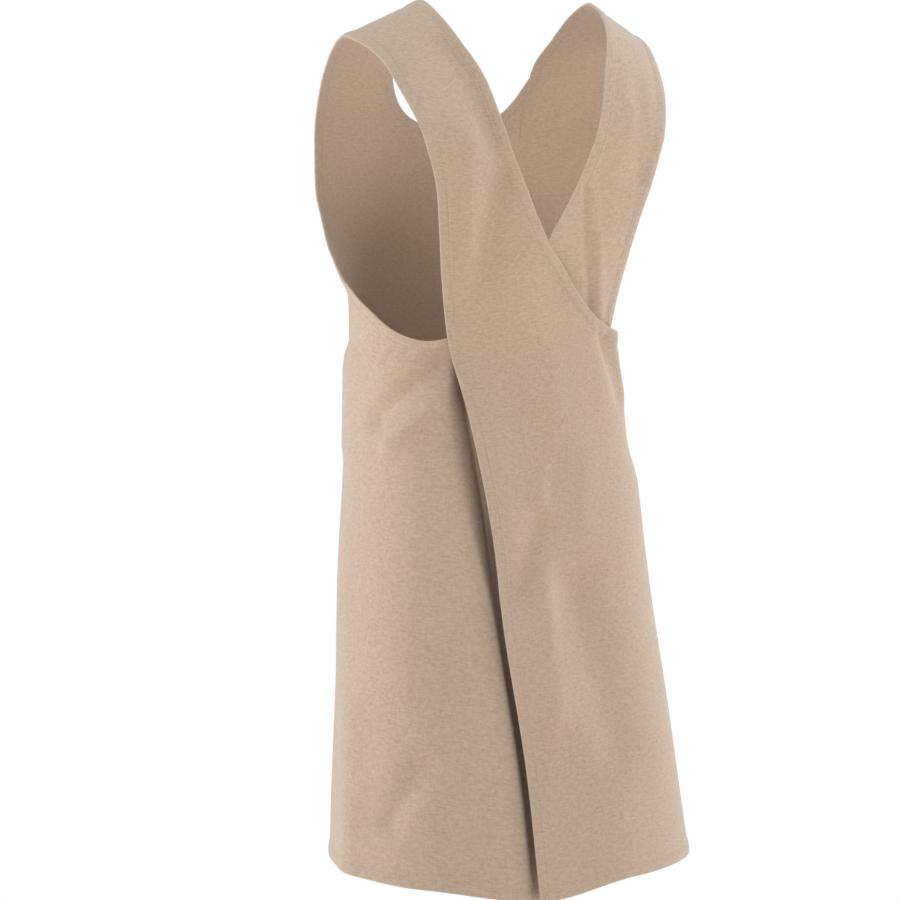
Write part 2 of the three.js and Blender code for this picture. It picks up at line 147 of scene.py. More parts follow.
# A strap's inner edge on the back: share of the way down to the crossing, share of the way out
NECK_EDGE = np.array([
    (-0.09, 1.0),
    (0.03, 0.93),
    (0.16, 0.81),
    (0.28, 0.7),
    (0.45, 0.58),
    (0.63, 0.42),
    (0.81, 0.24),
    (1.0, 0.0),
])
# A strap's outer edge, which runs on down as the panel's free edge
FREE_EDGE = np.array([
    (0.018, 1.0),
    (0.045, 0.925),
    (0.09, 0.875),
    (0.135, 0.8),
    (0.182, 0.73),
    (0.25, 0.65),
    (0.3, 0.605),
    (0.37, 0.555),
    (0.45, 0.475),
    (0.58, 0.405),
    (0.7, 0.385),
    (0.85, 0.335),
    (1.0, 0.33),
])
# A back panel's top edge past the crossing: degrees round, share of the way down
TOP_EDGE = np.array([
    (0, 0.255),
    (9, 0.284),
    (16, 0.311),
    (24, 0.336),
    (32, 0.351),
    (41, 0.362),
    (52, 0.367),
    (66, 0.357),
    (82, 0.335),
    (96, 0.319),
    (104, 0.302),
    (112, 0.2655),
])
BIB_EDGE = np.array([
    (0.018, 1.0),
    (0.08, 0.99),
    (0.16, 0.975),
    (0.21, 0.945),
    (0.2655, 0.875),
])
NECKLINE = np.array([
    (-0.18, 1.0),
    (0.2, 0.93),
    (0.5, 0.84),
    (0.8, 0.64),
    (0.95, 0.34),
    (1.0, 0.0),
])
SEAM_LINE = np.array([
    (0.2655, 112),
    (1.0, 118),
])
# down, how far the upper panel's free edge lifts, how far the lower panel sinks beside it, and how widely
EDGE_ROLL = np.array([
    (0.38, 0.0, 0.0, 0.4),
    (0.405, 0.4, 0.8, 0.4),
    (0.43, 0.6, 1.5, 0.7),
    (0.46, 0.75, 1.3, 1.2),
    (0.49, 0.9, 1.4, 1.2),
    (0.55, 1.0, 1.5, 1.0),
    (0.605, 1.0, 1.8, 0.68),
    (0.665, 0.9, 1.8, 0.3),
    (0.72, 0.75, 1.8, 0.2),
    (0.78, 0.6, 2.2, 0.22),
    (0.9, 0.5, 2.2, 0.22),
    (1.0, 0.5, 2.2, 0.2),
])
print(len(SECTIONS), "sections, the top edge has", len(TOP_EDGE), "rows")

# %% [markdown]
# ## A smooth curve through a table
# The curve passes through every row, and its slope at a row is that of the line between the rows on both
# sides. It works on whole arrays at once, because a fine sheet has tens of thousands of points.

# %% Curves


def mix(a, b, share):
    return a + (b - a) * share


def ease(share):
    s = np.clip(share, 0, 1)
    return s * s * (3 - 2 * s)


def curve(table, at, column=1):
    keys = table[:, 0]
    values = table[:, column]
    last = len(keys) - 1
    before = np.maximum(np.arange(last + 1) - 1, 0)
    after = np.minimum(np.arange(last + 1) + 1, last)
    slopes = (values[after] - values[before]) / (keys[after] - keys[before])
    at = np.clip(at, keys[0], keys[-1])
    i = np.clip(np.searchsorted(keys, at) - 1, 0, last - 1)
    span = keys[i + 1] - keys[i]
    t = (at - keys[i]) / span
    line = mix(values[i], values[i + 1], t * t * (3 - 2 * t))
    return line + t * (1 - t) * span * ((1 - t) * slopes[i] - t * slopes[i + 1])


print("the free edge at mid length is", round(float(SHOULDER_REACH * curve(FREE_EDGE, 0.5)), 4), "m out")

# %% [markdown]
# ## The form that the cloth hangs round
# Each level has a rounded-square section: half sizes for back and front, a depth, a centre, and two powers
# that say how square the back and the front are. A place on it is given by a level and a turn from the
# centre of the back. Over the shoulder a strap leaves that form and follows an arch from the back to the
# crest.

# %% The form
ARCH_DOWN = SECTIONS[0, 0] * LENGTH


def section(z):
    down = np.maximum(-z / LENGTH, SECTIONS[0, 0])
    to_waist = curve(SECTIONS, down, 1)
    to_hem = curve(SECTIONS, down, 2)

    def blend(chest, waist, hem):
        return mix(mix(chest, waist, to_waist), hem, to_hem)

    back = blend(CHEST_WIDTH, WAIST_WIDTH, HEM_WIDTH) / 2
    front = back * curve(SECTIONS, down, 3)
    depth = blend(CHEST_DEPTH, WAIST_DEPTH, HEM_DEPTH) / 2
    lean = blend(CHEST_LEAN, WAIST_LEAN, HEM_LEAN)
    back_power = blend(BLADE_SQUARENESS, WAIST_SQUARENESS, HEM_SQUARENESS)
    front_power = blend(WAIST_SQUARENESS, WAIST_SQUARENESS, HEM_SQUARENESS)
    return back, front, depth, lean, back_power, front_power


def on_form(turn, z):
    back, front, depth, lean, back_power, front_power = section(z)
    wide = np.where(np.cos(turn) > 0, back, front)
    power = np.where(np.cos(turn) > 0, back_power, front_power)
    across = np.abs(np.sin(turn)) / wide
    along = np.abs(np.cos(turn)) / depth
    r = (across**power + along**power) ** (-1 / power)
    return np.stack([r * np.sin(turn), lean + r * np.cos(turn), z + 0 * turn], -1)


def turn_at(x, z, front=False):
    back, wide, depth, lean, back_power, front_power = section(z)
    power = front_power if front else back_power
    share = np.minimum(1, np.abs(x) / (wide if front else back))
    y = depth * (1 - share**power) ** (1 / power)
    return np.arctan2(x, -y if front else y)


def crest_level(x):
    out = (np.abs(x) - NECK_REACH) / (SHOULDER_REACH - NECK_REACH)
    return SHOULDER_DROP * (0.5 - out)


def on_arch(x, swing, front=False):
    out = (np.abs(x) - NECK_REACH) / (SHOULDER_REACH - NECK_REACH)
    base = on_form(turn_at(x, -ARCH_DOWN + 0 * x, front), -ARCH_DOWN + 0 * x)
    angle = swing * math.pi / 2
    rise = np.abs(np.sin(angle)) ** (2 / ARCH_POWER)
    full = np.maximum(0, np.cos(angle)) ** (2 / ARCH_POWER)
    y = mix(-SHOULDER_FORWARD * out, base[..., 1], full)
    return np.stack([x + 0 * y, y, mix(-ARCH_DOWN, crest_level(x), rise)], -1)


def swing_at(x, z):
    rise = np.maximum(0, (z + ARCH_DOWN) / (crest_level(x) + ARCH_DOWN))
    return np.arcsin(np.minimum(1, rise ** (ARCH_POWER / 2))) / (math.pi / 2)


print("the form at the waist is", [round(float(v), 3) for v in section(np.array(-0.335))[:3]])

# %% [markdown]
# ## Folds and the softness of cloth
# Cloth that hangs from two shoulders is never quite smooth. Long soft folds run down from where it is held,
# a few short creases start where a hem pulls, and all of it undulates by a millimetre. A fold here is a
# ridge or a valley along a line on the cloth, and the undulation is a sum of slow waves with fixed phases,
# so it is the same each time.

# %% Folds
# side, from turn, from down, to turn, to down, half width as a share of the waist's, rise in millimetres
FOLDS = np.array([
    (1, 112, 0.31, 112, 0.385, 0.13, -5),
    (1, 114, 0.4, 114, 0.51, 0.1, 2.5),
    (1, 44, 0.385, 84, 0.47, 0.05, -5),
    (1, 45, 0.43, 74, 0.495, 0.03, 3),
    (1, 92, 0.8, 88, 1.02, 0.09, 4),
    (1, 55, 0.84, 72, 0.93, 0.05, -3),
    (1, 145, 0.5, 141, 1.02, 0.1, 6),
    (-1, -48, 0.03, -27, 0.16, 0.075, -4),
    (-1, -28, 0.15, -21, 0.275, 0.075, -6),
    (-1, -45, 0.19, -36, 0.3, 0.05, 2.5),
    (-1, 72, 0.27, 72, 0.52, 0.17, -12),
    (-1, 66, 0.125, 66, 0.405, 0.12, -14),
    (-1, 34, 0.36, 48, 0.45, 0.045, -3),
    (-1, 60, 0.335, 60, 0.385, 0.08, -5),
    (-1, -5, 0.57, -22, 0.67, 0.06, -4),
    (-1, -9, 0.64, -5, 0.8, 0.06, 4),
    (-1, 8, 0.64, 20, 0.86, 0.12, -4),
    (-1, 148, 0.52, 144, 1.02, 0.1, 6),
])
# The same, for what the construction model's few faces can't follow: narrow creases, and folds made sharper
CREASES = np.array([
    (1, -21, 0.19, -29, 0.34, 0.02, -2.8),
    (1, -27, 0.22, -37, 0.36, 0.022, 2.0),
    (1, -48, 0.08, -47, 0.19, 0.035, -2.5),
    (1, -43, 0.04, -45, 0.13, 0.03, 1.2),
    (1, -37, 0.14, -33, 0.26, 0.03, 1.0),
    (1, 58, 0.37, 65, 0.39, 0.010, -1.1),
    (1, 66, 0.37, 74, 0.396, 0.011, -1.4),
    (1, 74, 0.37, 86, 0.412, 0.014, -1.6),
    (1, 82, 0.37, 93, 0.4, 0.012, -0.9),
    (1, 54, 0.91, 53, 0.97, 0.04, 1.0),
    (1, 90, 0.9, 86, 1.02, 0.05, 2.0),
    (-1, -47, 0.12, -33, 0.18, 0.04, 1.2),
    (-1, 40, 0.35, 55, 0.45, 0.022, 1.8),
    (-1, 30, 0.345, 38, 0.4, 0.014, -1.3),
    (-1, -7, 0.77, -15, 0.9, 0.05, 2.0),
    (-1, 12, 0.47, -2, 0.55, 0.04, -1.4),
    (-1, 24, 0.5, 14, 0.6, 0.05, 1.4),
    (-1, -46, 0.03, -32, 0.15, 0.05, -6),
    (-1, -28, 0.17, -31, 0.31, 0.055, -8),
    (-1, -44, 0.12, -41, 0.3, 0.045, 5),
    (-1, -6, 0.53, -9, 0.66, 0.045, 2.5),
    (-1, -9, 0.64, -12, 0.82, 0.045, 3),
    (-1, -5, 0.57, -24, 0.67, 0.045, -4),
    (-1, 8, 0.64, 20, 0.86, 0.09, -4),
    (-1, 34, 0.36, 48, 0.45, 0.04, -2),
    (1, 44, 0.385, 84, 0.47, 0.045, -3.5),
    (1, 45, 0.43, 74, 0.495, 0.028, 2.5),
    (1, 92, 0.8, 88, 1.02, 0.07, 3),
    (1, 55, 0.84, 72, 0.93, 0.045, -2.5),
])
ALL_FOLDS = np.concatenate([FOLDS, CREASES])


def fold_rise(side, turn, z):
    per_degree = WAIST_WIDTH / 2 * math.radians(1)
    px = np.degrees(turn) * per_degree
    py = -z
    rise = 0 * turn
    for hand, turn_a, down_a, turn_b, down_b, wide, height in ALL_FOLDS:
        ax, ay = turn_a * per_degree, down_a * LENGTH
        bx, by = turn_b * per_degree, down_b * LENGTH
        span = (bx - ax) ** 2 + (by - ay) ** 2
        share = ((px - ax) * (bx - ax) + (py - ay) * (by - ay)) / span
        off_line = ((px - ax) * (by - ay) - (py - ay) * (bx - ax)) / math.sqrt(span)
        ends = ease(share * 4 + 0.5) * ease((1 - share) * 4 + 0.5)
        one = height / 1000 * ends * np.exp(-((off_line / (wide * WAIST_WIDTH)) ** 2))
        rise = rise + np.where(side == hand, one, 0)
    return rise


def undulation(x, z, size, wave, seed, stretch=2.5):
    chance = np.random.default_rng(seed)
    total = 0 * x
    count = 9
    for _ in range(count):
        heading = chance.uniform(0, 2 * math.pi)
        pace = 2 * math.pi / (wave * chance.uniform(0.7, 1.4))
        phase = chance.uniform(0, 2 * math.pi)
        total = total + np.sin(pace * (x * math.cos(heading) + z / stretch * math.sin(heading)) + phase)
    return size * total / math.sqrt(count)


print(len(FOLDS), "folds and", len(CREASES), "creases")

# %% [markdown]
# ## Where the lines of a sheet run
# A sheet is a grid of lines up and across. Lines lie close together beside a folded hem, where the
# stitching pulls a fine groove, and about three millimetres apart elsewhere. The hem keeps its width while
# the panel gets wider, so the lines beside it are laid out by distance and the rest are spread evenly
# between them.

# %% Lines beside a hem
HEM_LINES = np.array([0, 0.8, 2.2, 5.0, 7.6, 8.6, 9.3, 10.0, 11.2, 13.0]) / 1000
STITCH_LINE = 6
STITCH_IN = HEM_LINES[STITCH_LINE]


def shares_along(span, between, first=None, last=None):
    """Shares of the way along spans of these lengths. first and last stretch the hem's lines at each end."""
    span = np.asarray(span, float)[:, None]
    low = HEM_LINES * first[:, None] / span if first is not None else 0 * span
    high = 1 - HEM_LINES[::-1] * last[:, None] / span if last is not None else 0 * span + 1
    start, stop = low[:, -1:], high[:, :1]
    even = start + (stop - start) * np.linspace(0, 1, between + 2)[None, 1:-1]
    return np.concatenate([low, even, high], axis=1)


def length_of(points):
    return np.linalg.norm(np.diff(points, axis=-2), axis=-1).sum(-1)


print("lines across a strap 100 mm wide:", shares_along([0.1], 24, np.ones(1), np.ones(1)).shape[1])

# %% [markdown]
# ## A back panel
# Each panel is the skirt's half on one side, and it runs on over the back into a strap up to the opposite
# shoulder. One function gives the place of any point of it: up goes from 0 at the hem to 1 at the top edge
# and 2 on the shoulder's crest, and across goes from 0 at the free edge to 1 at the strap's inner edge and
# 2 at the side seam. The panel that lies on top stands a little off the other and lifts along its free
# edge, and the lower one sinks there.

# %% The place of a back panel's points
TOP_TURNS = math.radians(TOP_EDGE[-1, 0])
CROSS_Z = -CROSS_DOWN


def free_x(z):
    return SHOULDER_REACH * curve(FREE_EDGE, -z / LENGTH)


def neck_x(z):
    return NECK_REACH * curve(NECK_EDGE, -z / CROSS_DOWN)


def free_turn(z):
    return -turn_at(free_x(z), z)


def seam_turn(z):
    return np.radians(curve(SEAM_LINE, -z / LENGTH))


def hem_level(left_turn):
    return -LENGTH + HEM_RISE * ease(np.abs(np.degrees(left_turn) - HEM_LOW_TURN) / HEM_RISE_TURNS)


def top_level(turn):
    return -LENGTH * curve(TOP_EDGE, np.degrees(turn))


def stand_off(turn, z, over):
    down = -z / LENGTH
    if over:
        past_under = ease((turn - math.radians(50)) / math.radians(30))
        towards_shoulder = ease((z + 0.86 * CROSS_DOWN) / (0.6 * CROSS_DOWN))
        away = (turn - free_turn(z)) / math.radians(EDGE_TURNS)
        lift = EDGE_LIFT * curve(EDGE_ROLL, down, 1) * np.exp(-(away**2))
        return INSET + (HEM_CLOTH + LAYER_GAP) * (1 - past_under) * (1 - towards_shoulder) + lift
    below = ease((-z - CROSS_DOWN) / (0.5 * CROSS_DOWN))
    tucked = TUCK * below * ease((10 - np.degrees(turn)) / 30)
    past = (turn + free_turn(z)) * WAIST_WIDTH / 2 / (VALLEY_WIDE * curve(EDGE_ROLL, down, 3))
    sunk = VALLEY_DEPTH * curve(EDGE_ROLL, down, 2) * (1 - np.clip(past, 0, 1)) ** 2
    return INSET - np.maximum(tucked, sunk)


def skirt_part(up, across, hand, over):
    in_strap = across <= 1
    strap = np.clip(across, 0, 1)
    panel = np.clip(across - 1, 0, 1)
    cross = CROSS_Z + 0 * across
    top_turn = np.where(in_strap, -turn_at(free_x(cross) * (1 - strap), cross), TOP_TURNS * panel)
    upper = np.where(in_strap, cross, top_level(top_turn))
    bottom = -LENGTH + 0 * across
    hem_share = np.where(in_strap, HEM_QUARTER * strap, mix(HEM_QUARTER, 1, panel))
    hem_turn = mix(free_turn(bottom), seam_turn(bottom), hem_share)
    z = mix(hem_level(hand * hem_turn), upper, up)
    edge_then = mix(free_turn(bottom), free_turn(cross), up)
    seam_then = mix(seam_turn(bottom), TOP_TURNS, up)
    plain = mix(hem_turn, top_turn, up)
    share = (plain - edge_then) / (seam_then - edge_then)
    turn = mix(free_turn(z), seam_turn(z), share)
    at_seam = np.where(across >= 2, SEAM_GAP / 2 / WAIST_WIDTH, 0)
    off = stand_off(turn, z, over) + fold_rise(hand, turn, z)
    return on_form(turn - at_seam, z), off


def strap_part(along, across, hand, over):
    tip = mix(SHOULDER_REACH, NECK_REACH, across)
    straight = (CROSS_DOWN - ARCH_DOWN) / (CROSS_DOWN - ARCH_DOWN + 1.25 * ARCH_DOWN)
    swing = np.maximum(0, (along - straight) / (1 - straight))
    z = mix(CROSS_Z, -ARCH_DOWN, np.minimum(along / straight, 1))
    x = mix(free_x(z), neck_x(z), across)
    flat = on_form(turn_at(-x, z), z)
    level = on_arch(tip, swing)[..., 2]
    over_x = mix(mix(free_x(level), neck_x(level), across), tip, swing**4)
    arched = on_arch(-over_x, swing)
    arched[..., 1] += np.where(along >= 1, SEAM_GAP / 2, 0)
    raised = swing > 0
    turn = -np.where(raised, turn_at(over_x, -ARCH_DOWN + 0 * over_x), turn_at(x, z))
    level = np.where(raised, level, z)
    on_it = np.where(raised[..., None], arched, flat)
    return on_it, stand_off(turn, level, over) + fold_rise(hand, turn, level)


def back_place(up, across, hand, over):
    """The place on the form, on the wearer's left, and how far the cloth stands off it."""
    low, off_low = skirt_part(np.minimum(up, 1), across, hand, over)
    high, off_high = strap_part(np.clip(up - 1, 0, 1), np.minimum(across, 1), hand, over)
    raised = up > 1
    return np.where(raised[..., None], high, low), np.where(raised, off_high, off_low)


print("the crossing lies at", np.round(back_place(np.array([1.0]), np.array([1.0]), 1, True)[0][0], 3))

# %% Lay out a back panel's grid
SKIRT_BETWEEN = 178
STRAP_BETWEEN = 24
PANEL_BETWEEN = 120
STRAP_ROWS = 104


def panel_lines():
    """Where the lines past the strap lie, from 1 to 2: closest where one panel's edge lies on the other."""
    even = np.linspace(0, 1, 400)
    crowd = 1 + 2.2 * np.exp(-(((even - 0.2) / 0.2) ** 2))
    run = np.cumsum(crowd) - crowd[0]
    return 1 + np.interp(np.linspace(0, run[-1], PANEL_BETWEEN + 1), run, even)[1:]


def back_lines(hand, over):
    """The up and across values of every crossing, and the line numbers of the top edge and the inner edge."""
    across_even = np.concatenate([np.linspace(0, 1, 2 * len(HEM_LINES) + STRAP_BETWEEN), panel_lines()])
    steps = np.linspace(0, 1, 9)
    sample_up = steps[None] + 0 * across_even[:, None]
    tall = length_of(back_place(sample_up, across_even[:, None] + 0 * steps, hand, over)[0])
    turn = TOP_TURNS * np.clip(across_even - 1, 0, 1)
    reach = np.linalg.norm(on_form(turn, top_level(turn))[:, :2], axis=-1)
    step = 0.004
    steep = (top_level(turn + step) - top_level(turn - step)) / (2 * step * reach)
    leaning = np.sqrt(1 + steep**2) * np.ones_like(turn)
    skirt = shares_along(tall, SKIRT_BETWEEN, np.ones_like(tall), leaning).T
    rows = skirt.shape[0] + STRAP_ROWS
    strap_up = 1 + np.linspace(0, 1, STRAP_ROWS + 1)[1:]
    up = np.concatenate([skirt, strap_up[:, None] + 0 * skirt[:1]])
    middle = up[:, 0]
    sample_across = steps[None] + 0 * middle[:, None]
    wide = length_of(back_place(middle[:, None] + 0 * steps, sample_across, hand, over)[0])
    strap = shares_along(wide, STRAP_BETWEEN, np.ones(rows), np.ones(rows))
    across = np.concatenate([strap, panel_lines()[None] + 0 * middle[:, None]], axis=1)
    return up, across, skirt.shape[0] - 1, strap.shape[1] - 1


up, across, top_row, inner_line = back_lines(1, True)
print("a back panel has", up.shape[0], "lines up by", up.shape[1], "across")

# %% [markdown]
# ## The front panel
# The front is one piece too: the skirt, the bib above it, and two short straps up to the shoulders' crest.
# It is the same on both sides, so its places are given by how far out a point is, from 1 at an outer edge
# to 0 in the middle.

# %% The place of the front panel's points
BIB_Z = -BIB_DOWN
STRAP_Z = -0.5 * NECKLINE_DOWN


def bib_edge_x(z):
    return SHOULDER_REACH * curve(BIB_EDGE, -z / LENGTH)


def neckline_x(z):
    return NECK_REACH * curve(NECKLINE, -z / NECKLINE_DOWN)


def scoop_level(x):
    low = -NECKLINE_DOWN + 0 * x
    high = STRAP_Z + 0 * x
    for _ in range(24):
        half = (low + high) / 2
        under = neckline_x(half) < x
        low = np.where(under, half, low)
        high = np.where(under, high, half)
    return low


def front_place(up, out, side):
    """The place on the form on the wearer's left, and the stand-off. side is the hand whose folds it has."""
    start = hem_level(math.pi)
    z = mix(start, BIB_Z, np.minimum(up, 1))
    edge = seam_turn(z) + SEAM_GAP / WAIST_WIDTH / 2
    turn = math.pi - (math.pi - edge) * out
    skirt = on_form(turn, z)
    rise = np.where(side > 0, fold_rise(1, turn, z), fold_rise(-1, turn, z))

    share = np.clip(up - 1, 0, 1)
    neck_top = neckline_x(np.array(STRAP_Z))
    edge_top = bib_edge_x(np.array(STRAP_Z))
    strap_out = np.clip((out - STRAP_START) / (1 - STRAP_START), 0, 1)
    in_strap = out >= STRAP_START
    top_x = np.where(in_strap, mix(neck_top, edge_top, strap_out), neck_top * out / STRAP_START)
    top_z = np.where(in_strap, STRAP_Z, scoop_level(top_x))
    level = mix(BIB_Z, top_z, share)
    foot_turn = seam_turn(np.array(BIB_Z))
    foot_edge = on_form(foot_turn, np.array(BIB_Z))[0]
    foot = on_form(math.pi - (math.pi - foot_turn) * out, BIB_Z + 0 * out)[..., 0]
    edge_x = mix(foot_edge, bib_edge_x(level), ease(3 * share))
    x = edge_x * mix(foot / foot_edge, top_x / edge_top, share)
    flat = on_form(turn_at(x, level, True), level)
    arched = on_arch(x, swing_at(x, level), True)
    bib = np.where((level > -ARCH_DOWN)[..., None], arched, flat)

    along = np.clip(up - 2, 0, 1)
    tip = mix(NECK_REACH, SHOULDER_REACH, strap_out)
    strap_foot = mix(neck_top, edge_top, strap_out)
    swing = mix(swing_at(strap_foot, STRAP_Z + 0 * strap_foot), 1, along)
    height = on_arch(tip, swing, True)[..., 2]
    settled = mix(strap_foot, mix(neckline_x(height), bib_edge_x(height), strap_out), ease(3 * along))
    strap = on_arch(mix(settled, tip, swing**6), swing, True)
    strap[..., 1] -= np.where(along >= 1, SEAM_GAP / 2, 0)

    on_it = np.where((up > 2)[..., None], strap, np.where((up > 1)[..., None], bib, skirt))
    return on_it, INSET + np.where(up <= 1, rise, 0)


# %% Lay out the front panel's grid
FRONT_BETWEEN = 182
BIB_BETWEEN = 22
FRONT_STRAP_ROWS = 34
FRONT_STRAP_BETWEEN = 20
FRONT_MIDDLE = 34


def front_lines():
    """Like back_lines, for the left half of the front, from the outer edge to the middle."""
    strap_lines = 2 * len(HEM_LINES) + FRONT_STRAP_BETWEEN
    out_even = np.concatenate([
        np.linspace(1, STRAP_START, strap_lines),
        np.linspace(STRAP_START, 0, FRONT_MIDDLE + 1)[1:],
    ])
    steps = np.linspace(0, 1, 9)
    ones = np.ones_like(out_even)
    grid = steps[None] + 0 * ones[:, None]
    flat_out = out_even[:, None] + 0 * steps
    tall = length_of(front_place(grid, flat_out, grid)[0])
    bib_tall = length_of(front_place(1 + grid, flat_out, grid)[0])
    skirt = shares_along(tall, FRONT_BETWEEN, ones, None).T
    top = front_place(2 + 0 * out_even, out_even, out_even)[0]
    along = np.gradient(top, axis=0)
    lean = np.linalg.norm(along, axis=-1) / np.maximum(np.abs(along[:, 0]), 1e-6)
    leaning = np.where(out_even < STRAP_START, np.minimum(lean, 2.2), 1)
    bib = 1 + shares_along(bib_tall, BIB_BETWEEN, None, leaning).T[1:]
    strap_up = 2 + np.linspace(0, 1, FRONT_STRAP_ROWS + 1)[1:]
    up = np.concatenate([skirt, bib, strap_up[:, None] + 0 * skirt[:1]])
    first = up[:, 0]
    between = 1 - (1 - STRAP_START) * steps[None] + 0 * first[:, None]
    wide = length_of(front_place(first[:, None] + 0 * steps, between, between)[0])
    row_ones = np.ones_like(first)
    strap = 1 - (1 - STRAP_START) * shares_along(wide, FRONT_STRAP_BETWEEN, row_ones, row_ones)
    centre = np.linspace(STRAP_START, 0, FRONT_MIDDLE + 1)[1:]
    out = np.concatenate([strap, centre[None] + 0 * first[:, None]], axis=1)
    return up, out, skirt.shape[0] - 1, skirt.shape[0] + bib.shape[0] - 1, strap.shape[1] - 1


front_up, front_out, bib_row, scoop_row, front_inner = front_lines()
print("the front has", front_up.shape[0], "lines up by", 2 * front_up.shape[1] - 1, "across")

# %% [markdown]
# ## From places to a sheet of cloth
# The lines' crossings are moved off the form along its own direction, and then the cloth gets its
# thickness: the inner face lies there, and the outer face stands off by one layer, or by nearly two along a
# hem. The hem's line of stitches pulls a groove, and the cloth puckers a little on both sides of it. The
# rim between the two faces is rounded by one more line, so that a free edge catches the light as folded
# cloth does.

# %% Directions on a grid


def unit(vectors):
    return vectors / np.maximum(np.linalg.norm(vectors, axis=-1, keepdims=True), 1e-12)


def at_corners(cells):
    """The sum at each crossing of the values of the cells round it."""
    rows, columns = cells.shape[:2]
    total = np.zeros((rows + 1, columns + 1, *cells.shape[2:]))
    for right in (0, 1):
        for up in (0, 1):
            total[up : rows + up, right : columns + right] += cells
    return total


def directions(points, live, hint):
    """The direction that the cloth faces at each crossing, from the cloth round it, on the hint's side."""
    one = points[1:, 1:] - points[:-1, :-1]
    other = points[1:, :-1] - points[:-1, 1:]
    faces = at_corners(unit(np.cross(one, other)) * live[..., None])
    return unit(faces * np.sign((faces * hint).sum(-1).mean()))


def level_at_crest(faces):
    """Two sheets meet on the shoulder's crest, so both face straight up there, front to back."""
    faces = faces.copy()
    faces[-1, :, 1] = 0
    return unit(faces)


def away_from_axis(points):
    level = np.where(points[..., 2] < -ARCH_DOWN, 0, points[..., 2] + ARCH_DOWN)
    lean = section(points[..., 2])[3]
    return np.stack([0.4 * points[..., 0], points[..., 1] - lean, level * 1.5], -1)


# %% Hems
FOLD_END = 0.0102
FOLD_FADES = 0.0022
GROOVE_WIDE = 0.001
ROUND_WIDE = 0.0016
PLUMP_MIDDLE = 0.0046
PLUMP_WIDE = 0.0032
PLUMP_RISE = 0.00018
PUCKER_RISE = 0.00016
PUCKER_MIDDLE = 0.012
PUCKER_WIDE = 0.009


def bell(distance, middle, wide):
    return np.exp(-(((distance - middle) / wide) ** 2))


def hem_thickness(distance):
    folded = 1 - ease((distance - FOLD_END) / FOLD_FADES)
    groove = bell(distance, STITCH_IN, GROOVE_WIDE)
    rounded = 1 - ease(distance / ROUND_WIDE)
    second_layer = (HEM_CLOTH - CLOTH) * folded * (1 - 0.4 * groove - 0.2 * rounded)
    return CLOTH + second_layer + PLUMP_RISE * bell(distance, PLUMP_MIDDLE, PLUMP_WIDE)


def nearest_edge(points, edges):
    """For each point, how far it is to the nearest hemmed edge, and how far along the edges that lies."""
    tree_points = []
    along = []
    start = 0.0
    for line in edges:
        steps = np.linalg.norm(np.diff(line, axis=0), axis=-1)
        run = np.concatenate([[0], np.cumsum(steps)])
        fine = np.linspace(0, run[-1], max(2, int(run[-1] / 0.0012)))
        tree_points.append(np.stack([np.interp(fine, run, line[:, k]) for k in range(3)], -1))
        along.append(start + fine)
        start += run[-1] + 0.5
    tree_points = np.concatenate(tree_points)
    along = np.concatenate(along)
    tree = KDTree(len(tree_points))
    for i, p in enumerate(tree_points):
        tree.insert(p, i)
    tree.balance()
    flat = points.reshape(-1, 3)
    found = [tree.find(p) for p in flat]
    distance = np.array([f[2] for f in found]).reshape(points.shape[:-1])
    where = along[np.array([f[1] for f in found])].reshape(points.shape[:-1])
    return distance, where


def puckers(distance, where, seed):
    """Small waves along a hem, strongest at the stitches and gone 3 cm in."""
    chance = np.random.default_rng(seed)
    waves = 0 * where
    for wave in (0.013, 0.019, 0.029, 0.041):
        waves = waves + np.sin(2 * math.pi * where / wave + chance.uniform(0, 6)) * (0.6 + wave * 12)
    uneven = 0.55 + 0.45 * np.sin(2 * math.pi * where / 0.17 + chance.uniform(0, 6))
    return PUCKER_RISE * waves * uneven * bell(distance, PUCKER_MIDDLE, PUCKER_WIDE)


# %% Make a sheet


def add_piece(name, places, quads):
    """A smooth mesh object at the origin."""
    mesh = bpy.data.meshes.new(name)
    mesh.from_pydata(places.tolist(), [], quads)
    mesh.polygons.foreach_set("use_smooth", [True] * len(mesh.polygons))
    mesh.update()
    made = bpy.data.objects.new(name, mesh)
    bpy.context.scene.collection.objects.link(made)
    return made


